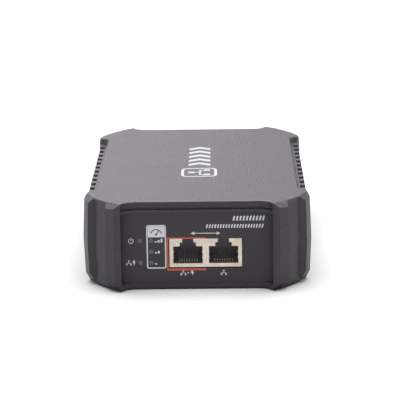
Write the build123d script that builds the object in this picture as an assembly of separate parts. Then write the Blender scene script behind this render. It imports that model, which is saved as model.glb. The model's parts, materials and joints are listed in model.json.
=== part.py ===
from build123d import *
import math
import os

# Power-over-Ethernet injector: a two-part moulded case holding a mains supply board,
# with two shielded network sockets in front and a mains inlet behind.
# X is to the right of the front panel, Y runs from front to back, Z is up.
# Heights are above the case's underside; save() lifts everything by the feet.
# Cutting shapes overshoot what they cut by a millimetre or more.

# Case
LENGTH = 138.2
HEIGHT = 36.0
SIDE_X = 44.35           # half width of the top between the corner ribs
DRAFT = 2.2              # degrees, from the parting line to the top and to the bottom
EDGE = [(0.2, 62), (0.4, 22)]   # rounding of the top edge, downwards: (fall, lean in degrees)
WALL = 2.0
ROOF = 2.2
MID = HEIGHT / 2
FRONT = -LENGTH / 2
PARTING_GAP = 0.06
FOOT_PROUD = 0.4

# Ends of the case: a wide recess between two tips
RECESS_X = 30.1
RECESS_DEPTH = 4.2
RECESS_CURVE_X = 24.5
BROW_BACK = 5.0
BROW_Z = 32.45           # the ledge under the brow
LINTEL_Z = 31.35         # the panel's opening reaches from the sill to the lintel
SILL_Z = 2.2

# Corner ribs, (x, distance from the end)
TIP = (30.1, 0.0)
RIB_A = [(32.6, 0.0), (36.0, 2.4), (36.0, 4.9)]
RIB_B = [(40.8, 11.0), (43.5, 11.2), (45.25, 16.3), (SIDE_X, 19.0)]
GROOVE_MID = (38.6, 7.85)
FACET_DROP = 2.2
FACET_END = (44.1, 17.9)

# Bevel round the lowest corners: a plane through each two neighbours, leaning outwards
BEVEL = [(29.9, 1.0), (35.5, 5.5), (40.2, 11.5), (44.2, 19.5)]
BEVEL_LEAN = 35          # degrees from upright

# Side channel with its vents
CHANNEL_X = 40.5
CHANNEL_DROP = 2.7
CHANNEL_LEAN = 12        # degrees
CHANNEL_END = 20.8
CHANNEL_RADIUS = 4.5
RIM = 0.35
VENT_COUNT = 12
VENT_PITCH = 7.25
VENT_WIDTH = 3.9
VENT_X = 42.3            # inner ends of the slots, just inside the cavity's wall
VENT_REACH = 12.5

# Inside of the case
CAVITY_X = 42.4
CAVITY_CORNER = (35.0, 19.0)
CAVITY_END = 8.3

# End panels
PANEL_FACE = 4.5
PANEL_STEP = 6.6
PANEL_BACK = 8.0
FLANGE_X = 31.6
FLANGE_TOP = 33.5
FIT = 0.05
OVERLAY_THICK = 0.25
OVERLAY_CORNER = 1.2

# Double socket
JACK_X = 3.4
JACK_WIDTH = 28.9
JACK_LOW = 8.7
JACK_HIGH = 20.45
JACK_FACE = 4.8
WINDOW_GAPS = (0.4, 0.35, 0.12)      # beside, below and above the shell
JACK_DEPTH = 21.0
SHIELD = 0.3
PORT_PITCH = 14.2
PORT_WIDTH = 11.7
PORT_LOW = 10.2
PORT_HIGH = 17.3
PORT_DEPTH = 14.0
STEP_WIDTH = 6.5
STEP_HIGH = 18.9
LATCH_WIDTH = 4.5
SPRING_RADIUS = 0.35
SPRING_HEIGHTS = (12.6, 15.0)
CONTACT_PITCH = 1.02
CONTACTS = 8
WIRE = 0.36
WIRE_FOLD = (9.4, 10.3)      # distance from the front, height
WIRE_TIP = (16.4, 12.4)

# Board
BOARD_LOW = 7.1
BOARD = 1.6
BOARD_TOP = BOARD_LOW + BOARD
BOARD_X = 34.2
BOARD_FROM = 9.6
BOARD_TO = LENGTH - 9.6

# Lights, (x, height)
LIGHTS = [(-22.7, 19.9), (-22.6, 10.8), (-18.3, 19.9), (-18.3, 15.4), (-18.3, 10.8)]
PIPE_RADIUS = 0.9

# Mains inlet
INLET_X = -12.0
INLET_Z = 17.8
INLET_WIDTH = 27.4
INLET_HIGH = 20.0
INLET_DEPTH = 22.0
TAB = 5.0                # free length of the tabs behind the inlet
LEAD_RADIUS = 1.1
MOUTH_WIDTH = 24.2
MOUTH_HIGH = 16.2
MOUTH_DEPTH = 16.5
INLET_PINS = [(INLET_X - 7.0, INLET_Z - 1.8), (INLET_X + 7.0, INLET_Z - 1.8), (INLET_X, INLET_Z + 2.2)]

# Supply parts on the board
TRANSFORMER = (-16.0, 16.0, 63.5, 90.5, 0.6, 22.6)   # x0, x1, d0, d1, low, high above the board
HEATSINK_X = 26.0
POWER_Z = 20.6

# Fixings
COVER_SCREWS = [(sx * 38.4, sy * 43.8) for sx in (-1, 1) for sy in (-1, 1)]
BOARD_SCREWS = [(sx * 30.4, sy * (LENGTH / 2 - 13.5)) for sx in (-1, 1) for sy in (-1, 1)]
SCREW_RADIUS = 1.5
BOSS_RADIUS = 4.1
HEAD_RADIUS = 2.75
HEAD_SEAT = 4.0
HEAD_HIGH = 2.1
BOARD_SCREW = (1.6, 2.6, 6.6)        # head height, head radius, whole length
BOARD_SCREW_RADIUS = 1.25
BOARD_BOSS_RADIUS = 3.2
COVER_SCREW_TIP = MID + 7.5
CROSS = (3.0, 0.6, 0.9)  # recess in a screw's head: length, width, depth
DRIVER_GAP = 0.25        # round a sunk screw head
FLANK_GAP = 0.2          # round a screw's shank
SINK = 0.5               # how far a boss or rib runs into the wall that carries it
RIB_LINES = (-12, 12)    # stiffening ribs under the roof
RIB = (1.2, 76.0, 1.0)   # width, length, drop
FEET = [(sx * 30.0, sy * 52.0) for sx in (-1, 1) for sy in (-1, 1)]
FOOT_RADIUS = 5.0
FOOT_POCKET = 0.8
LABEL_X, LABEL_Y = 24.0, 30.0
LABEL_POCKET = 0.3


def depth(d):
    """The Y of a plane that lies d behind the foremost tips."""
    return FRONT + d


def save(name, shapes):
    """Write one node, lifted so that the feet stand on Z = 0."""
    shapes = shapes if isinstance(shapes, list) else [shapes]
    solids = [solid for shape in shapes for solid in shape.solids()]
    lifted = [Pos(0, 0, FOOT_PROUD) * solid for solid in solids]
    body = lifted[0] if len(lifted) == 1 else Compound(children=lifted)
    export_step(body, f"parts/{name}.step")


def block(x0, x1, y0, y1, z0, z1):
    centre = Pos((x0 + x1) / 2, (y0 + y1) / 2, (z0 + z1) / 2)
    return centre * Box(x1 - x0, y1 - y0, z1 - z0)


def rod(x, y, z0, z1, radius):
    return Pos(x, y, (z0 + z1) / 2) * Cylinder(radius, z1 - z0)


def rod_y(x, z, y0, y1, radius):
    return Pos(x, (y0 + y1) / 2, z) * Rot(90, 0, 0) * Cylinder(radius, y1 - y0)


def rod_x(y, z, x0, x1, radius):
    return Pos((x0 + x1) / 2, y, z) * Rot(0, 90, 0) * Cylinder(radius, x1 - x0)


def rounded(shape, axis, radius):
    return fillet(shape.edges().filter_by(axis), radius)


def plate_y(width, low, high, x, y0, y1, radius):
    """A rounded plate that stands across Y."""
    return rounded(block(x - width / 2, x + width / 2, y0, y1, low, high), Axis.Y, radius)


def four(shape):
    """The shape with its mirror images in X, in Y and in both."""
    pair = [shape, mirror(shape, Plane.YZ)]
    return pair + [mirror(item, Plane.XZ) for item in pair]


# ---------------------------------------------------------------- case

def end_curve():
    """Half of the edge between the tips, from the middle to the right-hand tip."""
    middle = (0, depth(RECESS_DEPTH))
    bend = (RECESS_CURVE_X, depth(RECESS_DEPTH))
    tip = (TIP[0], depth(TIP[1]))
    run = Line(middle, bend)
    return [run, TangentArc(bend, tip, tangent=(1, 0))]


def quarter_outline():
    points = [TIP] + RIB_A
    edges = end_curve()
    for first, second in zip(points, points[1:]):
        edges.append(Line((first[0], depth(first[1])), (second[0], depth(second[1]))))
    start, end = RIB_A[-1], RIB_B[0]
    edges.append(ThreePointArc(*[(x, depth(d)) for x, d in (start, GROOVE_MID, end)]))
    for first, second in zip(RIB_B, RIB_B[1:]):
        edges.append(Line((first[0], depth(first[1])), (second[0], depth(second[1]))))
    edges.append(Line((SIDE_X, depth(RIB_B[-1][1])), (SIDE_X, 0)))
    return Curve() + edges


def case_outline():
    quarter = quarter_outline()
    half = Curve() + [quarter, mirror(quarter, Plane.XZ)]
    return make_face(Curve() + [half, mirror(half, Plane.YZ)])


def beyond(plane):
    """Everything on the outer side of a plane, as far as the case reaches."""
    return plane * Pos(0, 0, LENGTH / 6) * Box(LENGTH, LENGTH / 2, LENGTH / 3)


def facet_cutter(first, second, low):
    """Everything above the plane through two points on the top edge and one lower point."""
    a = Vector(first[0], depth(first[1]), HEIGHT)
    b = Vector(second[0], depth(second[1]), HEIGHT)
    c = Vector(low[0], depth(low[1]), HEIGHT - FACET_DROP)
    normal = (b - a).cross(c - a)
    normal = normal if normal.Z > 0 else normal * -1
    return beyond(Plane(origin=a, x_dir=b - a, z_dir=normal))


def bevel_cutter(first, second):
    """Everything below a plane that leans outwards from two points on the underside."""
    a = Vector(first[0], depth(first[1]), 0)
    along = (Vector(second[0], depth(second[1]), 0) - a).normalized()
    lean = math.radians(BEVEL_LEAN)
    normal = along.cross(Vector(0, 0, 1)) * math.cos(lean) - Vector(0, 0, math.sin(lean))
    return beyond(Plane(origin=a, x_dir=along, z_dir=normal))


def brow_cutter():
    """The hollow under the edge between the tips: its wall leans back towards the panel."""
    curve = Curve() + end_curve()
    tip_y, out_y = depth(TIP[1]), depth(-3)
    side = Curve() + [Line((TIP[0], tip_y), (TIP[0], out_y)), Line((TIP[0], out_y), (0, out_y))]
    half = Curve() + [curve, side]
    face = make_face(Curve() + [half, mirror(half, Plane.YZ)])
    fall = HEIGHT - BROW_Z
    lean = math.degrees(math.atan((BROW_BACK - RECESS_DEPTH) / fall))
    hollow = extrude(Pos(0, 0, HEIGHT) * face, amount=-fall, taper=-lean)
    return hollow & block(-RECESS_X, RECESS_X, depth(-2), depth(BROW_BACK + 1), BROW_Z, HEIGHT)


def channel_cutter():
    """The sunk strip along one upper edge, with a broken rim and slightly leaning walls."""
    outer = SIDE_X + 8
    reach = LENGTH / 2 - CHANNEL_END
    face = Pos((CHANNEL_X + outer) / 2, 0, HEIGHT) * Rectangle(outer - CHANNEL_X, 2 * reach)
    face = fillet(face.vertices().sort_by(Axis.X)[:2], CHANNEL_RADIUS)
    rim = extrude(face, amount=-RIM, taper=45)
    floor = rim.faces().sort_by(Axis.Z)[0]
    return rim + extrude(floor, amount=CHANNEL_DROP - RIM, taper=CHANNEL_LEAN)


def vents():
    """The slots of one side, which open the channel's floor and the upper part of the side."""
    first = -(VENT_COUNT - 1) / 2 * VENT_PITCH
    slots = []
    for number in range(VENT_COUNT):
        y = first + number * VENT_PITCH
        slots.append(block(VENT_X, SIDE_X + 4, y - VENT_WIDTH / 2, y + VENT_WIDTH / 2,
                           HEIGHT - VENT_REACH, HEIGHT + 1))
    return slots


def case_half():
    """The outside of the upper half, solid, from the parting line to the rounded top edge."""
    falls = EDGE + [(HEIGHT - MID - PARTING_GAP / 2 - sum(fall for fall, lean in EDGE), DRAFT)]
    setback = sum(fall * math.tan(math.radians(lean)) for fall, lean in EDGE)
    layer = Pos(0, 0, HEIGHT) * offset(case_outline(), amount=-setback, kind=Kind.INTERSECTION)
    body = None
    for fall, lean in falls:
        band = extrude(layer.faces()[0], amount=fall, dir=(0, 0, -1), taper=-lean)
        layer = band.faces().sort_by(Axis.Z)[0]
        body = band if body is None else body + band
    body -= four(facet_cutter(RIB_A[-1], TIP, RIB_A[1]))
    return body - four(facet_cutter(RIB_B[0], FACET_END, RIB_B[1]))


def cavity(low, high, half_width=CAVITY_X):
    corner_x, corner_d = CAVITY_CORNER
    end = depth(CAVITY_END)
    points = [(-corner_x, end), (corner_x, end), (CAVITY_X, depth(corner_d))]
    points += [(x, -y) for x, y in reversed(points)]
    points.append((-CAVITY_X, -depth(corner_d)))
    points.append((-CAVITY_X, depth(corner_d)))
    face = make_face(Polyline(points, close=True)) & Rectangle(2 * half_width, LENGTH)
    return extrude(Pos(0, 0, low) * face, amount=high - low)


def panel_seat(low, high, flange_high):
    """The space for one end panel: a mouth between the tips and a groove behind it."""
    mouth = block(-RECESS_X, RECESS_X, depth(-4), depth(CAVITY_END + 1), low, high)
    groove = block(-FLANGE_X - FIT, FLANGE_X + FIT, depth(PANEL_STEP - FIT), depth(PANEL_BACK + FIT),
                   low, flange_high)
    return mouth + groove


def top_cover():
    roof = HEIGHT - ROOF
    body = case_half()
    body -= cavity(0, HEIGHT - CHANNEL_DROP - WALL)
    body -= cavity(MID, roof, CHANNEL_X - WALL)
    seat = panel_seat(SILL_Z, LINTEL_Z, roof)
    brow = brow_cutter()
    body -= [seat, mirror(seat, Plane.XZ), brow, mirror(brow, Plane.XZ)]
    for x, y in COVER_SCREWS:
        body += rod(x, y, MID + PARTING_GAP / 2, roof + SINK, BOSS_RADIUS)
        body -= rod(x, y, MID - 1, COVER_SCREW_TIP + 0.5, SCREW_RADIUS)
    width, length, drop = RIB
    for x in RIB_LINES:
        body += block(x - width / 2, x + width / 2, -length / 2, length / 2, roof - drop, roof + SINK)
    side = [channel_cutter()] + vents()
    return body - side - [mirror(cutter, Plane.YZ) for cutter in side]


def bottom_cover():
    body = mirror(case_half(), Plane.XY.offset(MID))
    for first, second in zip(BEVEL, BEVEL[1:]):
        body -= four(bevel_cutter(first, second))
    body -= cavity(WALL, HEIGHT)
    seat = panel_seat(SILL_Z, HEIGHT, HEIGHT)
    body -= [seat, mirror(seat, Plane.XZ)]
    slots = [mirror(slot, Plane.XY.offset(MID)) for slot in vents()]
    body -= slots + [mirror(slot, Plane.YZ) for slot in slots]
    for x, y in COVER_SCREWS:
        body += rod(x, y, WALL - SINK, MID - PARTING_GAP / 2, BOSS_RADIUS)
        body -= rod(x, y, -1, HEAD_SEAT, HEAD_RADIUS + DRIVER_GAP)
        body -= rod(x, y, HEAD_SEAT - 1, MID + 1, SCREW_RADIUS + FLANK_GAP)
    for x, y in BOARD_SCREWS:
        body += rod(x, y, WALL - SINK, BOARD_LOW, BOARD_BOSS_RADIUS)
        body -= rod(x, y, WALL + 1, BOARD_LOW + 1, BOARD_SCREW_RADIUS)
    for x, y in FEET:
        body -= rod(x, y, -1, FOOT_POCKET, FOOT_RADIUS + FLANK_GAP)
    return body - block(-LABEL_X, LABEL_X, -LABEL_Y, LABEL_Y, -1, LABEL_POCKET)


def rating_label():
    x, y = LABEL_X - 0.3, LABEL_Y - 0.3
    return rounded(block(-x, x, -y, y, 0.05, LABEL_POCKET), Axis.Z, 1.5)


def rubber_feet():
    feet = []
    for x, y in FEET:
        foot = rod(x, y, -FOOT_PROUD, FOOT_POCKET, FOOT_RADIUS)
        feet.append(fillet(foot.edges().sort_by(Axis.Z)[0], FOOT_PROUD / 2))
    return feet


def screw(x, y, head_low, head_high, head_radius, tip, radius):
    """A pan-head screw driven upwards, with a cross recess."""
    head = rod(x, y, head_low, head_high, head_radius)
    head = fillet(head.edges().sort_by(Axis.Z)[0], 0.5)
    length, width, sunk = CROSS
    for across, along in ((length, width), (width, length)):
        head -= block(x - across / 2, x + across / 2, y - along / 2, y + along / 2, head_low - 1,
                      head_low + sunk)
    return head + rod(x, y, head_high - 0.2, tip, radius)


def cover_screw(x, y):
    return screw(x, y, HEAD_SEAT - HEAD_HIGH, HEAD_SEAT, HEAD_RADIUS, COVER_SCREW_TIP, SCREW_RADIUS)


def board_screw(x, y):
    """A short screw driven downwards, its head on the board."""
    high, radius, length = BOARD_SCREW
    turned = screw(0, 0, 0, high, radius, length, BOARD_SCREW_RADIUS)
    return Pos(x, y, BOARD_TOP + high) * Rot(180, 0, 0) * turned


# ---------------------------------------------------------------- end panels

def end_panel():
    """The blank of both panels: a face plate on a wider flange."""
    half, low = RECESS_X - FIT, SILL_Z + FIT
    face = block(-half, half, depth(PANEL_FACE), depth(PANEL_STEP), low, LINTEL_Z - FIT)
    return face + block(-FLANGE_X, FLANGE_X, depth(PANEL_STEP), depth(PANEL_BACK), low, FLANGE_TOP)


def jack_window():
    beside, below, above = WINDOW_GAPS
    half = JACK_WIDTH / 2 + beside
    return block(JACK_X - half, JACK_X + half, depth(0), depth(PANEL_BACK + 1), JACK_LOW - below,
                 JACK_HIGH + above)


def front_panel():
    body = end_panel() - jack_window()
    for x, z in LIGHTS:
        body -= rod_y(x, z, depth(0), depth(PANEL_BACK + 1), PIPE_RADIUS + 0.02)
    return body


def front_overlay():
    """The printed film over the whole face of the panel."""
    film = plate_y(2 * (RECESS_X - FIT), SILL_Z + FIT, LINTEL_Z - FIT, 0,
                   depth(PANEL_FACE - OVERLAY_THICK), depth(PANEL_FACE), OVERLAY_CORNER)
    film -= jack_window()
    for x, z in LIGHTS:
        film -= rod_y(x, z, depth(0), depth(PANEL_BACK), PIPE_RADIUS + 0.02)
    return film


def rear_panel():
    body = mirror(end_panel(), Plane.XZ)
    half = INLET_WIDTH / 2 + 0.1
    low, high = INLET_Z - INLET_HIGH / 2 - 0.1, INLET_Z + INLET_HIGH / 2 + 0.1
    return body - block(INLET_X - half, INLET_X + half, -FRONT - PANEL_BACK - 1, -FRONT, low, high)


def light_pipes():
    pipes = []
    for x, z in LIGHTS:
        pipe = rod_y(x, z, depth(PANEL_FACE - OVERLAY_THICK), depth(PANEL_BACK), PIPE_RADIUS)
        pipes.append(pipe + rod_y(x, z, depth(PANEL_BACK), depth(PANEL_BACK + 0.5), PIPE_RADIUS + 0.6))
    return pipes


# ---------------------------------------------------------------- sockets

def port_shape(x, y0, y1, grow):
    """The stepped opening of one socket: plug, shoulder and latch."""
    half = PORT_WIDTH / 2 + grow
    step = STEP_WIDTH / 2 + grow
    latch = LATCH_WIDTH / 2 + grow
    body = block(x - half, x + half, y0, y1, PORT_LOW - grow, PORT_HIGH + grow)
    body += block(x - step, x + step, y0, y1, PORT_HIGH, STEP_HIGH + grow)
    return body + block(x - latch, x + latch, y0, y1, STEP_HIGH, JACK_HIGH - SHIELD)


def port_centres():
    return [JACK_X - PORT_PITCH / 2, JACK_X + PORT_PITCH / 2]


def ground_springs(x, grow):
    """Half-round springs of the shield that show along both sides of a port."""
    edges = (x - PORT_WIDTH / 2 - 0.1, x + PORT_WIDTH / 2 + 0.1)
    y0, y1 = depth(JACK_FACE), depth(JACK_FACE + 4 + grow)
    return [rod_y(edge, z, y0, y1, SPRING_RADIUS + grow) for edge in edges for z in SPRING_HEIGHTS]


def jack_shield():
    """The folded metal shell round both inserts, open below, with spring bumps in the sides."""
    x0, x1 = JACK_X - JACK_WIDTH / 2, JACK_X + JACK_WIDTH / 2
    y0, y1 = depth(JACK_FACE), depth(JACK_FACE + JACK_DEPTH)
    shell = rounded(block(x0, x1, y0, y1, JACK_LOW, JACK_HIGH), Axis.Y, 0.35)
    inner = block(x0 + SHIELD, x1 - SHIELD, y0 + SHIELD, y1 - SHIELD, JACK_LOW - 1, JACK_HIGH - SHIELD)
    shell -= inner
    for x in port_centres():
        shell -= port_shape(x, depth(0), y0 + 1, 0)
        shell -= block(x - LATCH_WIDTH / 2, x + LATCH_WIDTH / 2, depth(0), y0 + 2.5, STEP_HIGH, JACK_HIGH + 1)
        for side in (-1, 1):
            edge = x + side * PORT_WIDTH / 2
            foot = (edge - 0.9, edge) if side > 0 else (edge, edge + 0.9)
            shell -= block(*foot, depth(0), y0 + SHIELD / 2, PORT_LOW - 0.45, PORT_LOW)
    shell += [bump for x in port_centres() for bump in ground_springs(x, 0)]
    for x in (x0, x1):
        side = 1 if x > JACK_X else -1
        shell += block(min(x, x - side * 0.3), max(x, x - side * 0.3), depth(12), depth(13.6),
                       BOARD_LOW - 1.2, JACK_LOW + 1)
    return shell


def jack_insert(x):
    """One moulded insert, filling its half of the shell, with the contact comb at the back."""
    low, high = BOARD_TOP, JACK_HIGH - SHIELD
    half = PORT_PITCH / 2 - 0.06
    y0, y1 = depth(JACK_FACE + SHIELD), depth(JACK_FACE + JACK_DEPTH - SHIELD)
    body = block(x - half, x + half, y0, y1, low, high)
    body -= port_shape(x, depth(0), depth(JACK_FACE + PORT_DEPTH), 0)
    for number in range(CONTACTS):
        slot = contact_x(x, number)
        width = WIRE / 2 + 0.12
        body -= block(slot - width, slot + width, depth(WIRE_FOLD[0] - 1.4), depth(JACK_FACE + PORT_DEPTH),
                      PORT_LOW - 0.55, PORT_LOW + 0.1)
    return body - ground_springs(x, 0.03) - contact_leads(x)


def contact_x(port, number):
    return port + (number - (CONTACTS - 1) / 2) * CONTACT_PITCH


def contact_wires(port):
    """The sprung ends: from the fold near the mouth they rise towards the back."""
    wires = []
    (fold_d, fold_z), (tip_d, tip_z) = WIRE_FOLD, WIRE_TIP
    run = math.hypot(tip_d - fold_d, tip_z - fold_z)
    rise = math.degrees(math.atan2(tip_z - fold_z, tip_d - fold_d))
    for number in range(CONTACTS):
        x = contact_x(port, number)
        straight = Box(WIRE, run, WIRE, align=(Align.CENTER, Align.MIN, Align.CENTER))
        nose = Rot(0, 90, 0) * Cylinder(WIRE / 2, WIRE)
        wires.append(Pos(x, depth(fold_d), fold_z) * Rot(rise, 0, 0) * (straight + nose))
    return wires


def contact_leads(port):
    """The fixed halves: along the insert's floor and down through the board."""
    leads = []
    low = PORT_LOW - 0.5
    for number in range(CONTACTS):
        x = contact_x(port, number)
        back = depth(JACK_FACE + PORT_DEPTH - 0.8 - (number % 2) * 1.6)
        run = block(x - WIRE / 2, x + WIRE / 2, depth(WIRE_FOLD[0] - 0.5), back, low, low + 0.3)
        tail = block(x - WIRE / 2, x + WIRE / 2, back - 0.3, back, BOARD_LOW - 1.5, low + 0.3)
        leads.append(run + tail)
    return leads


# ---------------------------------------------------------------- mains inlet

def ac_inlet():
    """A snap-in appliance inlet: flange outside the rear panel, body and mouth inside."""
    face = -depth(PANEL_FACE)
    flange = plate_y(INLET_WIDTH + 4.4, INLET_Z - 12.0, INLET_Z + 12.0, INLET_X, face, face + 2.2, 2.5)
    body = plate_y(INLET_WIDTH, INLET_Z - INLET_HIGH / 2, INLET_Z + INLET_HIGH / 2, INLET_X,
                   face - INLET_DEPTH, face + 0.2, 2.0)
    mouth = plate_y(MOUTH_WIDTH, INLET_Z - MOUTH_HIGH / 2, INLET_Z + MOUTH_HIGH / 2, INLET_X,
                    face + 2.2 - MOUTH_DEPTH, face + 3, 1.0)
    inlet = flange + body - mouth
    for side in (-1, 1):
        wedge_x = INLET_X + side * (MOUTH_WIDTH / 2)
        wedge = Polyline((wedge_x, INLET_Z + MOUTH_HIGH / 2 + 0.2),
                         (wedge_x - side * 4.2, INLET_Z + MOUTH_HIGH / 2 + 0.2),
                         (wedge_x + side * 0.2, INLET_Z + MOUTH_HIGH / 2 - 4.2), close=True)
        prism = extrude(make_face(Plane.XZ * wedge), amount=MOUTH_DEPTH, dir=(0, -1, 0))
        inlet += Pos(0, face + 2.2, 0) * prism
    for x, z in INLET_PINS:
        inlet -= block(x - 1.0, x + 1.0, face - INLET_DEPTH - 1, face, z - 2.0, z + 2.0)
    return inlet


def inlet_pins():
    face = -depth(PANEL_FACE)
    pins = []
    for x, z in INLET_PINS:
        pin = block(x - 1.0, x + 1.0, face - INLET_DEPTH - TAB, face - 0.8, z - 2.0, z + 2.0)
        pins.append(chamfer(pin.faces().sort_by(Axis.Y)[-1].edges(), 0.4))
    return pins


def inlet_leads():
    """Insulated leads from the inlet tabs down to the board."""
    tab = -depth(PANEL_FACE) - INLET_DEPTH - TAB
    leads = []
    for x, z in INLET_PINS:
        boot = block(x - 1.6, x + 1.6, tab - 1.2, tab, z - 2.6, z + 2.6)
        leads.append(boot + rod(x, tab - 1.2, BOARD_TOP, z + 1.0, LEAD_RADIUS))
    return leads


# ---------------------------------------------------------------- board and supply

def on_board(x0, x1, d0, d1, high, low=0.0):
    """A block that stands on the board, from low to high above it."""
    return block(x0, x1, depth(d0), depth(d1), BOARD_TOP + low, BOARD_TOP + high)


def main_board():
    """The board, cut away under the inlet and drilled for its screws and contact leads."""
    board = on_board(-BOARD_X, BOARD_X, BOARD_FROM, BOARD_TO, 0, -BOARD)
    notch = LENGTH - PANEL_FACE - INLET_DEPTH - TAB
    half = INLET_WIDTH / 2 + 1.9
    board -= on_board(INLET_X - half, INLET_X + half, notch, BOARD_TO + 1, 1, -BOARD - 1)
    for x, y in BOARD_SCREWS:
        board -= rod(x, y, BOARD_LOW - 1, BOARD_TOP + 1, 1.35)
    for x in port_centres():
        board -= [lead.solids()[0] for lead in contact_leads(x)]
    return board - jack_shield()


def insulating_sheet():
    """A folded film under the supply half of the board."""
    low = BOARD_LOW - 2.4
    base = block(-BOARD_X + 1, BOARD_X - 1, depth(61), depth(117), low, low + 0.3)
    for side in (-1, 1):
        x = side * (BOARD_X - 1)
        base += block(min(x, x + side * 0.3), max(x, x + side * 0.3), depth(61), depth(117), low, BOARD_LOW)
    return base


def light_board():
    return on_board(-25.6, -15.6, PANEL_BACK + 2.4, PANEL_BACK + 3.4, 14.5)


def status_lights():
    """Chip lights on the upright board, one behind each pipe."""
    y0, y1 = depth(PANEL_BACK + 1.4), depth(PANEL_BACK + 2.4)
    return [block(x - 0.8, x + 0.8, y0, y1, z - 0.6, z + 0.6) for x, z in LIGHTS]


def data_transformers():
    """Two isolating modules with gull-wing legs."""
    modules = []
    for x in (JACK_X - 8.2, JACK_X + 8.2):
        module = rounded(on_board(x - 6.3, x + 6.3, 29.5, 46, 7.2, 0.6), Axis.Z, 0.5)
        for number in range(10):
            d = 31.0 + number * 1.5
            for side in (-1, 1):
                inner, outer = x + side * 6.0, x + side * 7.4
                module += on_board(min(inner, outer), max(inner, outer), d - 0.25, d + 0.25, 1.2)
        modules.append(module)
    return modules


def chip(x, d, width, length, high, legs):
    """A small moulded package with legs along both sides and a dot at its first one."""
    body = on_board(x - width / 2, x + width / 2, d - length / 2, d + length / 2, high, 0.1)
    body = chamfer(body.faces().sort_by(Axis.Z)[-1].edges(), 0.2)
    top = BOARD_TOP + high
    body -= rod(x - width / 2 + 1, depth(d - length / 2 + 1), top - 0.1, top + 1, 0.4)
    pitch = length / legs
    for number in range(legs):
        place = d - length / 2 + (number + 0.5) * pitch
        for side in (-1, 1):
            inner, outer = x + side * (width / 2 - 0.2), x + side * (width / 2 + 0.9)
            body += on_board(min(inner, outer), max(inner, outer), place - 0.2, place + 0.2, 0.4)
    return body


def small_resistors():
    places = [(-32.0 + 2.6 * column, 40.0 + 3.0 * row) for column in range(5) for row in range(2)]
    places += [(-32.0 + 2.6 * column, 31.5) for column in range(3)]
    return [on_board(x - 0.8, x + 0.8, d - 0.5, d + 0.5, 0.55) for x, d in places]


def can_capacitor(x, d, radius, high):
    """A radial can with a rolled groove near its foot and scored vent lines on top."""
    y = depth(d)
    can = rod(x, y, BOARD_TOP + 0.3, BOARD_TOP + high, radius)
    can = fillet(can.edges().sort_by(Axis.Z)[-1], 0.5)
    groove = rod(x, y, BOARD_TOP + 2.0, BOARD_TOP + 2.8, radius + 1) - rod(x, y, 0, 30, radius - 0.35)
    top = BOARD_TOP + high
    can -= groove
    can -= [block(x - radius * 0.6, x + radius * 0.6, y - 0.15, y + 0.15, top - 0.2, top + 1),
            block(x - 0.15, x + 0.15, y - radius * 0.6, y + radius * 0.6, top - 0.2, top + 1)]
    for side in (-1, 1):
        can += rod(x + side * radius / 2, y, BOARD_TOP, BOARD_TOP + 0.4, 0.3)
    return can


def bulk_capacitor():
    """The large mains capacitor, lying across the board in a sleeve."""
    y, z = depth(110), BOARD_TOP + 10.6
    can = rod_x(y, z, 7.5, 33.0, 10.5)
    can = fillet(can.edges().filter_by(GeomType.CIRCLE).sort_by(Axis.X)[-1], 0.8)
    can -= rod_x(y, z, 10.0, 11.0, 12) - rod_x(y, z, 0, 40, 10.1)
    for side in (-1, 1):
        can += rod_x(y + side * 5, z, 5.9, 7.6, 0.4)
        can += rod(6.3, y + side * 5, BOARD_TOP, z + 0.4, 0.4)
    return can


def output_inductor():
    """A toroid on edge: the core ring, and the turns wound on it."""
    x, y, z = 20.0, depth(54), BOARD_TOP + 9.2
    core = rod_y(x, z, y - 3.2, y + 3.2, 7.0) - rod_y(x, z, y - 4, y + 4, 3.6)
    turns = []
    count = 14
    for number in range(count):
        angle = 360 / count * (number + 0.5)
        loop = Box(5.6, 8.6, 1.0) - Box(3.7, 6.5, 2)
        turns.append(Pos(x, y, z) * Rot(0, angle, 0) * Pos(5.3, 0, 0) * loop)
    return core, turns


def transformer_core():
    """Two E halves: a frame round the coil with a round leg through it."""
    x0, x1, d0, d1, low, high = TRANSFORMER
    core = on_board(x0, x1, d0 + 5, d1 - 5, high, low)
    core -= on_board(x0 + 4.5, x1 - 4.5, d0, d1, high - 4, low + 4)
    middle = (d0 + d1) / 2
    return core + rod(0, depth(middle), BOARD_TOP + low + 1, BOARD_TOP + high - 1, 4.8)


def transformer_bobbin():
    x0, x1, d0, d1, low, high = TRANSFORMER
    y = depth((d0 + d1) / 2)
    bottom, top = BOARD_TOP + low + 4.1, BOARD_TOP + high - 4.1
    half = (x1 - x0) / 2 - 4.7
    reach = (d1 - d0) / 2
    body = rod(0, y, bottom, top, 5.6)
    for z in (bottom, top - 0.8):
        body += rounded(block(-half, half, y - reach, y + reach, z, z + 0.8), Axis.Z, 2)
    body -= rod(0, y, 0, HEIGHT, 4.9)
    for number in range(6):
        x = (number - 2.5) * 3.6
        for side in (-1, 1):
            edge = y + side * (reach - 1.6)
            body += block(x - 1.2, x + 1.2, edge - 1.4, edge + 1.4, BOARD_TOP + 1.2, bottom + 0.2)
            body += rod(x, edge, BOARD_TOP, BOARD_TOP + 1.3, 0.4)
    return body


def transformer_winding():
    x0, x1, d0, d1, low, high = TRANSFORMER
    y = depth((d0 + d1) / 2)
    bottom, top = BOARD_TOP + low + 4.95, BOARD_TOP + high - 4.95
    coil = rod(0, y, bottom, top, 10.9)
    return coil - rod(0, y, 0, HEIGHT, 5.65)


def choke_core():
    """A closed rectangular ferrite on edge."""
    core = on_board(-27, -9, 92.6, 98.4, 17, 1.0)
    return core - on_board(-22.6, -13.4, 90, 100, 12.6, 5.4)


def choke_windings():
    coils = []
    for x in (-24.8, -11.2):
        outer = rounded(on_board(x - 3.5, x + 3.5, 91.3, 99.7, 12.2, 5.8), Axis.Z, 1.5)
        coils.append(outer - on_board(x - 2.25, x + 2.25, 92.55, 98.45, 20))
    return coils


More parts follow.
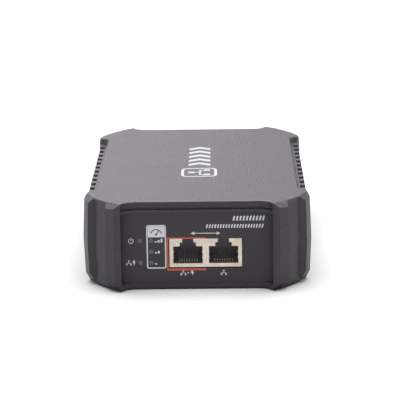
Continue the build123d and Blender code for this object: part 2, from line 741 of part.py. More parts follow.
def heatsink(side, d0, d1):
    """An upright plate with fins on its outer side."""
    x = side * HEATSINK_X
    plate = on_board(min(x, x + side * 2), max(x, x + side * 2), d0, d1, 21, 0)
    step = (d1 - d0 - 1.2) / 6
    for number in range(7):
        d = d0 + 0.6 + number * step
        plate += on_board(min(x + side, x + side * 5), max(x + side, x + side * 5), d - 0.5, d + 0.5, 21, 2)
    return plate - rod_x(depth((d0 + d1) / 2), POWER_Z + 4, x - 3, x + 3, 1.25)


def power_device(side, d):
    """A tabbed power package, flat against its heatsink pad."""
    x = side * (HEATSINK_X - 0.3)
    inner = x - side * 4.4
    tab = x - side * 1.3
    y = depth(d)
    body = block(min(inner, x), max(inner, x), y - 5, y + 5, POWER_Z - 8, POWER_Z)
    body += block(min(tab, x), max(tab, x), y - 5, y + 5, POWER_Z - 0.1, POWER_Z + 6.5)
    body -= rod_x(y, POWER_Z + 4, min(tab, x) - 1, max(tab, x) + 1, 1.6)
    lead_x = x - side * 2.2
    for offset in (-2.5, 0, 2.5):
        body += block(lead_x - 0.3, lead_x + 0.3, y + offset - 0.4, y + offset + 0.4,
                      BOARD_TOP, POWER_Z - 7.9)
    return body


def heatsink_pad(side, d):
    x0, x1 = side * (HEATSINK_X - 0.3), side * HEATSINK_X
    y = depth(d)
    pad = block(min(x0, x1), max(x0, x1), y - 6, y + 6, POWER_Z - 8.5, POWER_Z + 7)
    return pad - rod_x(y, POWER_Z + 4, min(x0, x1) - 1, max(x0, x1) + 1, 1.6)


def heatsink_screw(side, d):
    """A screw through the device's tab into the plate."""
    x = side * (HEATSINK_X - 1.6)
    y = depth(d)
    head = rod_x(y, POWER_Z + 4, min(x, x - side * 1.6), max(x, x - side * 1.6), 2.4)
    shank = rod_x(y, POWER_Z + 4, min(x, x + side * 3.4), max(x, x + side * 3.4), 1.25)
    return head + shank


def bridge_rectifier():
    body = on_board(-34, -30.4, 97, 117, 18, 3)
    body -= rod_x(depth(107), BOARD_TOP + 12, -36, -28, 1.6)
    for number in range(4):
        d = 99.5 + number * 5
        body += on_board(-32.7, -31.9, d - 0.5, d + 0.5, 3.1)
    return body


def film_capacitor():
    body = rounded(on_board(-6.2, 6.8, 93.2, 98.6, 12, 0.2), Axis.Z, 0.6)
    return body + on_board(-5, -4.2, 95.5, 96.3, 0.3) + on_board(4.8, 5.6, 95.5, 96.3, 0.3)


def disc(x, d, radius, thick):
    """A dipped disc on two legs, standing across the board's length."""
    y, z = depth(d), BOARD_TOP + radius + 2.5
    body = rod_y(x, z, y - thick / 2, y + thick / 2, radius)
    body = fillet(body.edges().filter_by(GeomType.CIRCLE), thick * 0.3)
    for side in (-1, 1):
        body += rod(x + side * radius * 0.6, y, BOARD_TOP, z, 0.35)
    return body


def fuse_parts():
    """A glass fuse between two cap ends, held in two clips."""
    y, z = depth(95.5), BOARD_TOP + 4.6
    tube = rod_x(y, z, 18.2, 30.2, 2.4) - rod_x(y, z, 18, 31, 1.9)
    caps = [rod_x(y, z, 14.2, 18.2, 2.5), rod_x(y, z, 30.2, 34.0, 2.5), rod_x(y, z, 18.2, 30.2, 0.2)]
    clips = []
    for x in (16.2, 32.2):
        clip = block(x - 1.5, x + 1.5, y - 3.1, y + 3.1, BOARD_TOP, z + 1.8)
        clip -= block(x - 2, x + 2, y - 2.5, y + 2.5, z, z + 4)
        clips.append(clip - rod_x(y, z, x - 2, x + 2, 2.5))
    return tube, caps, clips


if __name__ == "__main__":
    os.makedirs("parts", exist_ok=True)
    save("top_cover", top_cover())
    save("bottom_cover", bottom_cover())
    save("front_panel", front_panel())
    save("front_overlay", front_overlay())
    save("rear_panel", rear_panel())
    save("light_pipes", light_pipes())
    save("rating_label", rating_label())
    save("rubber_feet", rubber_feet())
    save("cover_screws", [cover_screw(x, y) for x, y in COVER_SCREWS])
    save("jack_shield", jack_shield())
    for label, x in zip(("left", "right"), port_centres()):
        save(f"{label}_jack_insert", jack_insert(x))
        save(f"{label}_contact_wires", contact_wires(x))
        save(f"{label}_contact_leads", contact_leads(x))
    save("ac_inlet", ac_inlet())
    save("inlet_pins", inlet_pins())
    save("inlet_leads", inlet_leads())
    save("board_screws", [board_screw(x, y) for x, y in BOARD_SCREWS])
    save("main_board", main_board())
    save("insulating_sheet", insulating_sheet())
    save("light_board", light_board())
    save("status_lights", status_lights())
    save("data_transformers", data_transformers())
    save("power_controller", chip(-28.5, 24.5, 6.0, 9.0, 1.2, 7))
    save("supply_controller", chip(31.0, 47.5, 4.0, 5.0, 1.5, 4))
    save("optocoupler", chip(31.0, 56.0, 4.6, 6.5, 3.4, 2))
    save("small_resistors", small_resistors())
    save("output_capacitors", [can_capacitor(x, 54, 5.0, 20) for x in (-28.6, -17.4, -6.2)])
    save("bulk_capacitor", bulk_capacitor())
    ring, turns = output_inductor()
    save("inductor_core", ring)
    save("inductor_winding", turns)
    save("transformer_core", transformer_core())
    save("transformer_bobbin", transformer_bobbin())
    save("transformer_winding", transformer_winding())
    save("choke_core", choke_core())
    save("choke_windings", choke_windings())
    save("primary_heatsink", heatsink(-1, 62.5, 88.5))
    save("output_heatsink", heatsink(1, 62.5, 88.5))
    save("switching_transistor", power_device(-1, 75.5))
    save("output_rectifier", power_device(1, 75.5))
    save("heatsink_pads", [heatsink_pad(side, 75.5) for side in (-1, 1)])
    save("heatsink_screws", [heatsink_screw(side, 75.5) for side in (-1, 1)])
    save("bridge_rectifier", bridge_rectifier())
    save("film_capacitor", film_capacitor())
    save("safety_capacitors", [disc(x, 60.6, 3.6, 2.4) for x in (-12, 12)])
    save("surge_absorber", disc(10.2, 95.6, 2.6, 3.0))
    tube, caps, clips = fuse_parts()
    save("fuse_glass", tube)
    save("fuse_caps", caps)
    save("fuse_clips", clips)
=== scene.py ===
import json
import math

import bmesh
import bpy
from mathutils import Matrix, Vector


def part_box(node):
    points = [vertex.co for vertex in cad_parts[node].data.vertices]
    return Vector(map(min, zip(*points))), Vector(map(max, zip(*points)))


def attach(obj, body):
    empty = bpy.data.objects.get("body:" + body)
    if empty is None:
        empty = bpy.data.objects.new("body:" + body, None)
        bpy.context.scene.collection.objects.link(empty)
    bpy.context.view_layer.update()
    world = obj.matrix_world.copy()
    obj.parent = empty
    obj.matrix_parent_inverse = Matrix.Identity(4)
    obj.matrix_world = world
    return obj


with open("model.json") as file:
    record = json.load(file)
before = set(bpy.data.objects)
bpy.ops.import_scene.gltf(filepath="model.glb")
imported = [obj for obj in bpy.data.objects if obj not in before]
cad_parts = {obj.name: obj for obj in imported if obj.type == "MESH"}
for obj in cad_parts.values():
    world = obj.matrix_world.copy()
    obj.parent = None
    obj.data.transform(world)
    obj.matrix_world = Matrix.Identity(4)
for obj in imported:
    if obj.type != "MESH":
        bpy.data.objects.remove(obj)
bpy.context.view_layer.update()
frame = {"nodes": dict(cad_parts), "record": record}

# A power-over-Ethernet injector. The case is dark moulded plastic, and its top looks grey because it
# mirrors the softboxes at a grazing angle.

MM = 0.001
NODES = frame["nodes"]

# Camera, with its angles in degrees and its lens and sensor in millimetres
CAMERA_PLACE = Vector((10.65, -790.1, 228.2)) * MM
CAMERA_PITCH = 14.78
CAMERA_YAW = 0.73
CAMERA_ROLL = -0.80
LENS = 171.0
SENSOR = 36.0
NEAREST, FARTHEST = 0.01, 20

# Light: the room's own, and softboxes as (name, place, size, radiance), in metres
ROOM = 0.17
SOFTBOXES = [
    ("overhead", (0.0, 0.15, 1.3), (2.0, 1.7), 8.5),
    ("behind", (-0.6, 1.5, 0.5), (1.6, 0.8), 1.9),
    ("left_side", (-1.4, 0.2, 0.5), (0.9, 1.2), 1.5),
    ("right_side", (1.4, 0.2, 0.5), (0.9, 1.2), 1.5),
    ("front", (0.0, -1.6, 0.9), (2.2, 1.0), 1.2),
]
FLOOR_GREY = 0.36
FLOOR_HALF = 6.0

# Ink
INK_THICK = 0.02 * MM
LIGHT_INK = (0.485, 0.485, 0.495)
MARK_INK = (0.21, 0.21, 0.215)
DARK_INK = (0.03, 0.03, 0.032)
RED_INK = (0.42, 0.065, 0.03)

# The dark plastics reflect with a faint violet cast, and cloud slightly over CLOUD_MM
SHEEN_TINT = (1.0, 0.985, 1.005)
CLOUD_MM = 14.0
CLOUD_SHARE = 0.18

# Inside the ports: the depth over which the plastic is painted lighter towards the back, as painted light
# in place of the shade deep in the port, and the gold part of each wire, behind which the wires take the
# same painted tone
PORT_PAINTED_LIGHT_DEPTH = 9 * MM
GOLD_LENGTH = 0.4 * MM
GOLD_FADE = 0.6 * MM

# Printing on the front panel, in millimetres across from the middle and up from the case's bottom
POWER_ROW = 19.9
IN_USE_ROW = 10.8
METER_ROWS = ((19.9, 3), (15.4, 2), (10.8, 1))
METER = (-20.1, 8.35, -12.3, 26.35)
METER_HEAD = (-19.75, 21.3, -12.65, 25.95)
METER_BARS_X = -16.8
DIAL = (-16.2, 22.4)
ARROW_ROW = 22.8
ARROW_HALF = 5.9
ARROW_HEAD = 1.5
SOCKET_ROW = 6.5
PORT_OFFSET = 7.1
RED_FRAME_LOW, RED_FRAME_HIGH = 7.45, 21.1
RED_FRAME_MARGIN = 1.0
RED_FRAME_SIDE = 0.6

# The sign on the top: its middle, and the chevrons as (first, pitch), in millimetres towards the back
MARK_X, MARK_Y = 0.6, -17.8
SIGN_HALF = 7.5
CHEVRON_COUNT = 5
CHEVRON_FIRST, CHEVRON_PITCH = 11.5, 7.2
CHEVRON = ((0, -4.6), (3.4, -4.6), (6.4, 0), (3.4, 4.6), (0, 4.6), (3.0, 0))


# ---------------------------------------------------------------- materials

class Shader:
    """A new material with a principled shader, and short calls for the nodes round it."""

    def __init__(self, name, roughness=0.5, metallic=0.0, specular=0.5):
        self.material = bpy.data.materials.new(name)
        self.material.use_nodes = True
        self.tree = self.material.node_tree
        self.bsdf = self.tree.nodes["Principled BSDF"]
        self.bsdf.inputs["Metallic"].default_value = metallic
        self.bsdf.inputs["Roughness"].default_value = roughness
        self.bsdf.inputs["Specular IOR Level"].default_value = specular
        self.place = self.node("ShaderNodeTexCoord").outputs["Object"]

    def node(self, kind, **values):
        node = self.tree.nodes.new(kind)
        for key, value in values.items():
            setattr(node, key, value)
        return node

    def link(self, source, target):
        self.tree.links.new(source, target)

    def stretched(self, scale):
        """Object coordinates scaled by axis: a scale under 1 draws the pattern out along that axis."""
        mapping = self.node("ShaderNodeMapping")
        mapping.inputs["Scale"].default_value = scale
        self.link(self.place, mapping.inputs["Vector"])
        return mapping.outputs["Vector"]

    def noise(self, size_mm, detail=2.0, place=None):
        noise = self.node("ShaderNodeTexNoise")
        noise.inputs["Scale"].default_value = 1.0 / (size_mm * MM)
        noise.inputs["Detail"].default_value = detail
        self.link(place or self.place, noise.inputs["Vector"])
        return noise.outputs["Fac"]

    def ramp(self, factor, stops):
        ramp = self.node("ShaderNodeValToRGB")
        elements = ramp.color_ramp.elements
        while len(elements) < len(stops):
            elements.new(0.5)
        for element, (position, colour) in zip(elements, stops):
            element.position = position
            element.color = (*colour, 1.0)
        self.link(factor, ramp.inputs["Fac"])
        return ramp.outputs["Color"]

    def spread(self, factor, low, high, start=0.35, end=0.65):
        """The factor's middle range, spread over low to high."""
        span = self.node("ShaderNodeMapRange")
        span.inputs["From Min"].default_value = start
        span.inputs["From Max"].default_value = end
        span.inputs["To Min"].default_value = low
        span.inputs["To Max"].default_value = high
        self.link(factor, span.inputs["Value"])
        return span.outputs["Result"]

    def along_y(self, start, end):
        """0 to 1 between two depths from front to back."""
        split = self.node("ShaderNodeSeparateXYZ")
        self.link(self.place, split.inputs["Vector"])
        return self.spread(split.outputs["Y"], 0.0, 1.0, start, end)

    def bump(self, factor, depth_mm):
        bump = self.node("ShaderNodeBump")
        bump.inputs["Distance"].default_value = depth_mm * MM
        bump.inputs["Strength"].default_value = 1.0
        self.link(factor, bump.inputs["Height"])
        self.link(bump.outputs["Normal"], self.bsdf.inputs["Normal"])

    def colour(self, socket):
        self.link(socket, self.bsdf.inputs["Base Color"])

    def rough(self, socket):
        self.link(socket, self.bsdf.inputs["Roughness"])


def shade(colour, amount):
    return tuple(min(1.0, channel * amount) for channel in colour)


def moulded(name, colour, rough=(0.42, 0.56), grain_mm=0.28, depth_mm=0.02, specular=0.5,
            stretch=(1, 1, 1)):
    """Moulded plastic with a spark-eroded grain, slightly cloudy at a larger scale."""
    shader = Shader(name, specular=specular)
    shader.bsdf.inputs["Specular Tint"].default_value = (*SHEEN_TINT, 1.0)
    grain = shader.noise(grain_mm, 3.0, shader.stretched(stretch))
    cloud = shader.noise(CLOUD_MM, 2.0)
    mixed = shader.node("ShaderNodeMix", data_type="FLOAT")
    mixed.inputs["Factor"].default_value = CLOUD_SHARE
    shader.link(grain, mixed.inputs["A"])
    shader.link(cloud, mixed.inputs["B"])
    blend = mixed.outputs["Result"]
    shader.colour(shader.ramp(blend, [(0.35, shade(colour, 0.78)), (0.65, shade(colour, 1.25))]))
    shader.rough(shader.spread(blend, *rough))
    shader.bump(grain, depth_mm)
    return shader.material


def metal(name, colour, rough=(0.22, 0.38), stretch=(1, 1, 1), grain_mm=0.25, depth_mm=0.006):
    """Plated or bare metal; a stretched grain gives rolled or brushed sheet."""
    shader = Shader(name, metallic=1.0)
    grain = shader.noise(grain_mm, 3.0, shader.stretched(stretch))
    tarnish = shader.noise(3.5, 3.0)
    shader.colour(shader.ramp(tarnish, [(0.3, shade(colour, 0.86)), (0.7, shade(colour, 1.08))]))
    shader.rough(shader.spread(grain, *rough))
    shader.bump(grain, depth_mm)
    return shader.material


def coated(name, colour, rough, mottle_mm, depth_mm):
    """A smooth dipped, sleeved or lacquered skin."""
    shader = Shader(name, roughness=rough)
    mottle = shader.noise(mottle_mm, 3.0)
    shader.colour(shader.ramp(mottle, [(0.35, shade(colour, 0.8)), (0.65, shade(colour, 1.18))]))
    shader.rough(shader.spread(shader.noise(mottle_mm / 3), rough * 0.8, rough * 1.3))
    shader.bump(mottle, depth_mm)
    shader.bsdf.inputs["Coat Weight"].default_value = 0.25
    shader.bsdf.inputs["Coat Roughness"].default_value = 0.15
    return shader.material


def circuit_board(name):
    """Solder mask with the faint relief of copper tracks under it."""
    shader = Shader(name, roughness=0.32)
    tracks = shader.node("ShaderNodeTexBrick", offset=0.37, squash=1.6, squash_frequency=3)
    tracks.inputs["Scale"].default_value = 1 / (2.1 * MM)
    tracks.inputs["Mortar Size"].default_value = 0.09
    tracks.inputs["Brick Width"].default_value = 3.1
    tracks.inputs["Row Height"].default_value = 0.62
    tracks.inputs["Color1"].default_value = (0.010, 0.085, 0.036, 1)
    tracks.inputs["Color2"].default_value = (0.013, 0.105, 0.045, 1)
    tracks.inputs["Mortar"].default_value = (0.006, 0.050, 0.022, 1)
    shader.link(shader.place, tracks.inputs["Vector"])
    shader.colour(tracks.outputs["Color"])
    shader.rough(shader.spread(shader.noise(1.2), 0.25, 0.42))
    shader.bump(tracks.outputs["Fac"], 0.03)
    return shader.material


def wound_wire(name, colour):
    """Enamelled copper turns side by side, darker in the grooves between turns: painted shade."""
    shader = Shader(name, metallic=1.0)
    turns = shader.node("ShaderNodeTexWave", wave_type="BANDS", bands_direction="DIAGONAL")
    turns.inputs["Scale"].default_value = 1 / (3 * MM)
    turns.inputs["Distortion"].default_value = 0.6
    shader.link(shader.place, turns.inputs["Vector"])
    # The copper is darkened in the grooves between turns as painted shade.
    shader.colour(shader.ramp(turns.outputs["Fac"], [(0.1, shade(colour, 0.45)), (0.8, colour)]))
    shader.rough(shader.spread(turns.outputs["Fac"], 0.45, 0.22, 0.0, 1.0))
    shader.bump(turns.outputs["Fac"], 0.12)
    return shader.material


def contact_metal(name, fold_y):
    """Gold at the fold of the wires; from there to the back they are matte, in the tone painted into the
    port plastic: painted light.
    """
    shader = Shader(name)
    along = shader.along_y(fold_y, fold_y + GOLD_FADE)
    worn = shader.noise(0.3)
    mixed = shader.node("ShaderNodeMath", operation="MULTIPLY_ADD")
    mixed.inputs[1].default_value = 0.1
    shader.link(worn, mixed.inputs[0])
    shader.link(along, mixed.inputs[2])
    # The rear colour is painted light, matching the port plastic's painted tone.
    gold, rear_painted_tone = (1.0, 0.82, 0.52), (0.30, 0.27, 0.30)
    shader.colour(shader.ramp(mixed.outputs["Value"], [(0.1, gold), (0.7, rear_painted_tone)]))
    shader.link(shader.spread(along, 0.7, 0.0, 0.0, 1.0), shader.bsdf.inputs["Metallic"])
    shader.rough(shader.spread(worn, 0.25, 0.40))
    shader.bump(worn, 0.004)
    return shader.material


def port_plastic_painted_light(name, mouth_y, mouth, back):
    """Moulded plastic, dark at the mouth of the port and painted lighter towards its back: painted light
    in place of the shade deep inside the port.
    """
    shader = Shader(name, specular=0.3)
    painted_light_depth = shader.along_y(mouth_y, mouth_y + PORT_PAINTED_LIGHT_DEPTH)
    shader.colour(shader.ramp(painted_light_depth, [(0.0, mouth), (1.0, back)]))
    grain = shader.noise(0.15, 3.0)
    shader.rough(shader.spread(grain, 0.5, 0.65))
    shader.bump(grain, 0.006)
    return shader.material


def clear_glass(name):
    shader = Shader(name, roughness=0.04)
    shader.bsdf.inputs["Transmission Weight"].default_value = 0.92
    shader.bsdf.inputs["IOR"].default_value = 1.5
    haze = shader.noise(1.5)
    shader.colour(shader.ramp(haze, [(0.3, (0.86, 0.92, 0.90)), (0.7, (0.97, 0.99, 0.98))]))
    shader.rough(shader.spread(haze, 0.02, 0.09))
    return shader.material


def ink(name, colour):
    """Screen-printed ink with a slightly uneven lay."""
    shader = Shader(name, roughness=0.5)
    lay = shader.noise(0.35, 2.0)
    shader.colour(shader.ramp(lay, [(0.3, shade(colour, 0.9)), (0.7, shade(colour, 1.06))]))
    shader.rough(shader.spread(lay, 0.42, 0.6))
    shader.bump(lay, 0.004)
    return shader.material


def make_materials():
    """One material for each slot of the part's record, and the inks."""
    return {
        "case_plastic": moulded("case_plastic", (0.0245, 0.0213, 0.0265), grain_mm=0.7, depth_mm=0.25,
                                specular=0.42, stretch=(1, 0.45, 1)),
        "panel_plastic": moulded("panel_plastic", (0.0205, 0.0175, 0.0218), grain_mm=0.22, specular=0.38),
        "overlay_film": moulded("overlay_film", (0.0205, 0.0175, 0.0220), (0.40, 0.50), 0.3, 0.004, 0.38),
        "label_film": ink("label_film", (0.55, 0.55, 0.56)),
        "foot_rubber": moulded("foot_rubber", (0.018, 0.018, 0.019), (0.7, 0.9), 0.18, 0.02, 0.3),
        "screw_steel": metal("screw_steel", (0.52, 0.52, 0.54)),
        "light_pipe": coated("light_pipe", (0.058, 0.058, 0.061), 0.28, 0.8, 0.01),
        "jack_nickel": metal("jack_nickel", (0.62, 0.555, 0.47), (0.34, 0.48), (1, 6, 1)),
        # The port insert is painted lighter from its mouth to its back: painted light in place of the
        # shade inside the port.
        "insert_plastic": port_plastic_painted_light("insert_plastic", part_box("left_jack_insert")[0].y,
                                       (0.030, 0.027, 0.031), (0.27, 0.245, 0.275)),
        # Behind their gold fold the wires carry the port plastic's painted light.
        "contact_gold": contact_metal("contact_gold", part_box("left_contact_wires")[0].y + GOLD_LENGTH),
        "inlet_plastic": moulded("inlet_plastic", (0.020, 0.020, 0.021), (0.3, 0.42), 0.18, 0.006),
        "pin_nickel": metal("pin_nickel", (0.80, 0.78, 0.74), (0.15, 0.28), (1, 6, 1)),
        "lead_insulation": coated("lead_insulation", (0.05, 0.05, 0.055), 0.4, 1.5, 0.01),
        "board_mask": circuit_board("board_mask"),
        "sheet_film": coated("sheet_film", (0.62, 0.60, 0.50), 0.5, 5.0, 0.03),
        "light_chip": coated("light_chip", (0.80, 0.78, 0.62), 0.3, 0.5, 0.005),
        "module_plastic": moulded("module_plastic", (0.020, 0.020, 0.021), (0.4, 0.55), 0.2, 0.01),
        "chip_plastic": moulded("chip_plastic", (0.018, 0.018, 0.020), (0.4, 0.6), 0.12, 0.008),
        "resistor_ceramic": coated("resistor_ceramic", (0.05, 0.05, 0.055), 0.25, 0.5, 0.004),
        "can_sleeve": coated("can_sleeve", (0.02, 0.025, 0.07), 0.28, 4.0, 0.01),
        "ferrite": moulded("ferrite", (0.055, 0.055, 0.060), (0.5, 0.7), 0.2, 0.02),
        "copper": wound_wire("copper", (0.78, 0.36, 0.16)),
        "bobbin_plastic": moulded("bobbin_plastic", (0.022, 0.022, 0.023), (0.35, 0.5), 0.25, 0.008),
        "winding_tape": coated("winding_tape", (0.80, 0.60, 0.06), 0.22, 3.0, 0.04),
        "heatsink_aluminium": metal("heatsink_aluminium", (0.60, 0.61, 0.63), (0.35, 0.5), (1, 1, 9)),
        "pad_silicone": moulded("pad_silicone", (0.30, 0.30, 0.32), (0.6, 0.8), 0.3, 0.01),
        "film_case": coated("film_case", (0.70, 0.52, 0.07), 0.35, 2.0, 0.01),
        "disc_coating": coated("disc_coating", (0.03, 0.10, 0.34), 0.25, 1.5, 0.04),
        "fuse_glass": clear_glass("fuse_glass"),
        "fuse_metal": metal("fuse_metal", (0.76, 0.75, 0.72), (0.18, 0.3)),
        "light_ink": ink("light_ink", LIGHT_INK),
        "mark_ink": ink("mark_ink", MARK_INK),
        "dark_ink": ink("dark_ink", DARK_INK),
        "red_ink": ink("red_ink", RED_INK),
    }


def dress_nodes(materials):
    """Each CAD node gets the material of its slot in the record."""
    slots = {part["node"]: part["material_slot"] for part in frame["record"]["subparts"]}
    for name, node in NODES.items():
        node.data.materials.clear()
        node.data.materials.append(materials[slots[name]])


# ---------------------------------------------------------------- printing

class Print:
    """Flat inked shapes on one plane, gathered into a single thin closed mesh."""

    def __init__(self, name, origin, across, up):
        self.name = name
        self.origin = Vector(origin)
        self.across = Vector(across)
        self.up = Vector(up)
        self.out = self.across.cross(self.up)
        self.mesh = bmesh.new()

    def lift(self, point, height):
        return self.origin + (self.across * point[0] + self.up * point[1]) * MM + self.out * height

    def polygon(self, points):
        """One filled outline, anticlockwise."""
        low = [self.mesh.verts.new(self.lift(point, 0)) for point in points]
        high = [self.mesh.verts.new(self.lift(point, INK_THICK)) for point in points]
        self.mesh.faces.new(high)
        self.mesh.faces.new(list(reversed(low)))
        for index in range(len(points)):
            after = (index + 1) % len(points)
            self.mesh.faces.new((low[index], low[after], high[after], high[index]))

    def band(self, outer, inner, closed=True):
        """The strip between two rows of points of the same length."""
        count = len(outer)
        rows = [[self.mesh.verts.new(self.lift(point, height)) for point in row]
                for row in (outer, inner) for height in (0, INK_THICK)]
        outer_low, outer_high, inner_low, inner_high = rows
        for index in range(count if closed else count - 1):
            after = (index + 1) % count
            for first, second in ((outer_high, inner_high), (inner_low, outer_low),
                                  (outer_low, outer_high), (inner_high, inner_low)):
                self.mesh.faces.new((first[index], first[after], second[after], second[index]))
        if not closed:
            for index in (0, count - 1):
                self.mesh.faces.new((outer_low[index], outer_high[index], inner_high[index],
                                     inner_low[index]))

    def disc(self, x, y, radius, steps=28):
        angles = [2 * math.pi * index / steps for index in range(steps)]
        self.polygon([(x + radius * math.cos(a), y + radius * math.sin(a)) for a in angles])

    def arc(self, x, y, radius, width, start, sweep, steps=24):
        """Part of a ring, from start through sweep degrees."""
        angles = [math.radians(start + sweep * index / steps) for index in range(steps + 1)]
        rows = [[(x + r * math.cos(a), y + r * math.sin(a)) for a in angles]
                for r in (radius + width / 2, radius - width / 2)]
        self.band(*rows, closed=False)

    def bar(self, x0, y0, x1, y1, radius=0.0):
        self.polygon(rounded_rectangle(x0, y0, x1, y1, radius))

    def frame(self, x0, y0, x1, y1, width, radius):
        outer = rounded_rectangle(x0, y0, x1, y1, radius)
        inner = rounded_rectangle(x0 + width, y0 + width, x1 - width, y1 - width, radius - width)
        self.band(outer, inner)

    def stroke(self, start, end, width):
        along = Vector(end) - Vector(start)
        side = Vector((-along.y, along.x)).normalized() * width / 2
        first, second = Vector(start), Vector(end)
        self.polygon([first - side, second - side, second + side, first + side])

    def hatch(self, x0, x1, y, height, pitch, lean):
        """A row of short strokes from x0 to x1, each half a pitch wide, in place of lettering."""
        for index in range(int((x1 - x0) / pitch)):
            x = x0 + index * pitch
            self.polygon([(x, y), (x + pitch / 2, y), (x + pitch / 2 + lean, y + height),
                          (x + lean, y + height)])

    def bolt(self, x, y, size):
        """A lightning bolt of that height."""
        shape = [(-0.06, -0.50), (0.30, 0.10), (0.04, 0.10), (0.20, 0.50), (-0.16, 0.50), (-0.30, -0.06),
                 (-0.03, -0.06)]
        self.polygon([(x + size * px, y + size * py) for px, py in shape])

    def finish(self, material, body="root"):
        """Turns the gathered shapes into a piece that rides on the body."""
        bmesh.ops.recalc_face_normals(self.mesh, faces=self.mesh.faces)
        piece = make_object(self.name, self.mesh, material)
        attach(piece, body)


def rounded_rectangle(x0, y0, x1, y1, radius, steps=6):
    if radius <= 0:
        return [(x0, y0), (x1, y0), (x1, y1), (x0, y1)]
    points = []
    corners = ((x1 - radius, y1 - radius, 0), (x0 + radius, y1 - radius, 90),
               (x0 + radius, y0 + radius, 180), (x1 - radius, y0 + radius, 270))
    for cx, cy, start in corners:
        for index in range(steps + 1):
            angle = math.radians(start + 90 * index / steps)
            points.append((cx + radius * math.cos(angle), cy + radius * math.sin(angle)))
    return points


def make_object(name, mesh, material):
    data = bpy.data.meshes.new(name)
    mesh.to_mesh(data)
    mesh.free()
    made = bpy.data.objects.new(name, data)
    bpy.context.scene.collection.objects.link(made)
    data.materials.append(material)
    return made


def network_icon(sheet, x, y, size):
    """Three boxes on a branching line."""
    box = size * 0.30
    for bx, by in ((0.0, 0.36), (-0.42, -0.36), (0.42, -0.36)):
        cx, cy = x + bx * size, y + by * size
        sheet.bar(cx - box / 2, cy - box / 2, cx + box / 2, cy + box / 2)
    line = size * 0.09
    sheet.bar(x - line / 2, y, x + line / 2, y + 0.22 * size)
    sheet.bar(x - 0.42 * size - line / 2, y - line, x + 0.42 * size + line / 2, y)
    for side in (-1, 1):
        cx = x + side * 0.42 * size
        sheet.bar(cx - line / 2, y - 0.22 * size, cx + line / 2, y - line)


def print_front_panel(materials):
    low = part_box("front_overlay")[0]
    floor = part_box("bottom_cover")[0].z
    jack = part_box("jack_shield")
    centre = (jack[0].x + jack[1].x) / 2 / MM
    light = Print("panel_printing", (0, low.y, floor), (1, 0, 0), (0, 0, 1))

    # power light: a broken ring and its stroke
    light.arc(-26.3, POWER_ROW - 0.05, 0.95, 0.28, start=125, sweep=290)
    light.bar(-26.44, POWER_ROW - 0.1, -26.16, POWER_ROW + 1.3)
    # supply-in-use light
    network_icon(light, -27.3, IN_USE_ROW, 2.0)
    light.bolt(-25.2, IN_USE_ROW, 2.1)
    # load meter, with as many rising bars beside each light as the load has steps
    light.frame(*METER, 0.5, 0.9)
    light.bar(*METER_HEAD, 0.5)
    for row, count in METER_ROWS:
        for step in range(count):
            x = METER_BARS_X + step * 1.15
            light.bar(x, row - 0.75, x + 0.8, row - 0.25 + 0.5 * step)
    # both-way arrow above the sockets
    shaft = ARROW_HALF - 1.3
    light.bar(centre - shaft, ARROW_ROW - 0.15, centre + shaft, ARROW_ROW + 0.15)
    for side in (-1, 1):
        tip, tail = centre + side * ARROW_HALF, centre + side * (ARROW_HALF - ARROW_HEAD)
        points = [(tip, ARROW_ROW), (tail, ARROW_ROW + 0.7), (tail, ARROW_ROW - 0.7)]
        light.polygon(points if side < 0 else list(reversed(points)))
    # socket marks: data and power on the left, data on the right
    left, right = centre - PORT_OFFSET, centre + PORT_OFFSET
    network_icon(light, left - 1.9, SOCKET_ROW, 2.1)
    light.bar(left - 0.35, SOCKET_ROW - 0.15, left + 0.35, SOCKET_ROW + 0.15)
    light.bar(left - 0.15, SOCKET_ROW - 0.35, left + 0.15, SOCKET_ROW + 0.35)
    light.bolt(left + 1.7, SOCKET_ROW, 2.3)
    network_icon(light, right, SOCKET_ROW, 2.1)
    # two plain rows of strokes in the upper corner
    light.hatch(14.2, 27.2, 27.85, 1.9, 1.3, 0.45)
    light.hatch(3.6, 27.4, 24.9, 1.5, 1.1, 0.3)
    light.finish(materials["light_ink"])

    # a dial on the meter's head
    dark = Print("header_symbol", (0, low.y - INK_THICK, floor), (1, 0, 0), (0, 0, 1))
    dark.arc(*DIAL, 2.1, 0.4, start=15, sweep=150)
    dark.stroke(DIAL, (DIAL[0] + 1.1, DIAL[1] + 1.7), 0.35)
    dark.disc(*DIAL, 0.42)
    dark.finish(materials["dark_ink"])

    # red frame round three sides of the left port
    red = Print("port_frame", (0, low.y, floor), (1, 0, 0), (0, 0, 1))
    outer = jack[0].x / MM - RED_FRAME_MARGIN
    inner = outer + RED_FRAME_SIDE
    red.bar(outer, RED_FRAME_LOW, inner, RED_FRAME_HIGH)
    red.bar(inner, RED_FRAME_HIGH - 0.52, centre, RED_FRAME_HIGH)
    red.bar(inner, RED_FRAME_LOW, centre, RED_FRAME_LOW + 0.87)
    red.finish(materials["red_ink"])


def print_top_mark(materials):
    """A branching sign in a rounded square, and chevrons that point to the back."""
    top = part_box("top_cover")[1].z
    mark = Print("top_mark", (MARK_X * MM, MARK_Y * MM, top), (0, 1, 0), (-1, 0, 0))
    mark.frame(-SIGN_HALF, -SIGN_HALF, SIGN_HALF, SIGN_HALF, 1.2, 3.0)
    network_icon(mark, 0, 0, 9.0)
    for index in range(CHEVRON_COUNT):
        start = CHEVRON_FIRST + index * CHEVRON_PITCH
        mark.polygon([(start + x, y) for x, y in CHEVRON])
    mark.finish(materials["mark_ink"])


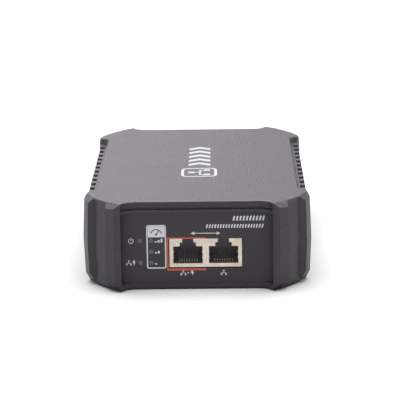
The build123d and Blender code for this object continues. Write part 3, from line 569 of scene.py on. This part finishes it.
# ---------------------------------------------------------------- stage

def make_camera():
    data = bpy.data.cameras.new("camera")
    data.sensor_width = SENSOR
    data.lens = LENS
    data.clip_start = NEAREST
    data.clip_end = FARTHEST
    camera = bpy.data.objects.new("camera", data)
    turn = Matrix.Rotation(math.radians(CAMERA_YAW), 4, "Z")
    tilt = Matrix.Rotation(math.radians(90 - CAMERA_PITCH), 4, "X")
    roll = Matrix.Rotation(math.radians(CAMERA_ROLL), 4, "Z")
    camera.matrix_world = Matrix.Translation(CAMERA_PLACE) @ turn @ tilt @ roll
    bpy.context.scene.collection.objects.link(camera)
    bpy.context.scene.camera = camera


def make_floor():
    shader = Shader("floor_paint", roughness=0.9, specular=0.2)
    tone = (FLOOR_GREY, FLOOR_GREY, FLOOR_GREY)
    shader.colour(shader.ramp(shader.noise(40.0), [(0.3, shade(tone, 0.98)), (0.7, shade(tone, 1.02))]))
    mesh = bmesh.new()
    bmesh.ops.create_grid(mesh, x_segments=2, y_segments=2, size=FLOOR_HALF)
    floor = make_object("floor", mesh, shader.material)


def softbox(name, place, size, radiance):
    """A soft rectangle of light that faces the object and that no camera sees."""
    data = bpy.data.lights.new(name, "AREA")
    data.shape = "RECTANGLE"
    data.size, data.size_y = size
    data.energy = math.pi * size[0] * size[1] * radiance
    light = bpy.data.objects.new(name, data)
    light.location = place
    light.rotation_euler = (-Vector(place)).to_track_quat("-Z", "Y").to_euler()
    light.visible_camera = False
    bpy.context.scene.collection.objects.link(light)


def make_lights():
    world = bpy.data.worlds.new("studio")
    world.use_nodes = True
    background = world.node_tree.nodes["Background"]
    background.inputs["Color"].default_value = (1.0, 1.0, 1.0, 1.0)
    background.inputs["Strength"].default_value = ROOM
    bpy.context.scene.world = world
    for name, place, size, radiance in SOFTBOXES:
        softbox(name, place, size, radiance)


def main():
    materials = make_materials()
    dress_nodes(materials)
    print_front_panel(materials)
    print_top_mark(materials)
    make_camera()
    make_floor()
    make_lights()
    bpy.context.scene.view_settings.view_transform = "Standard"


main()
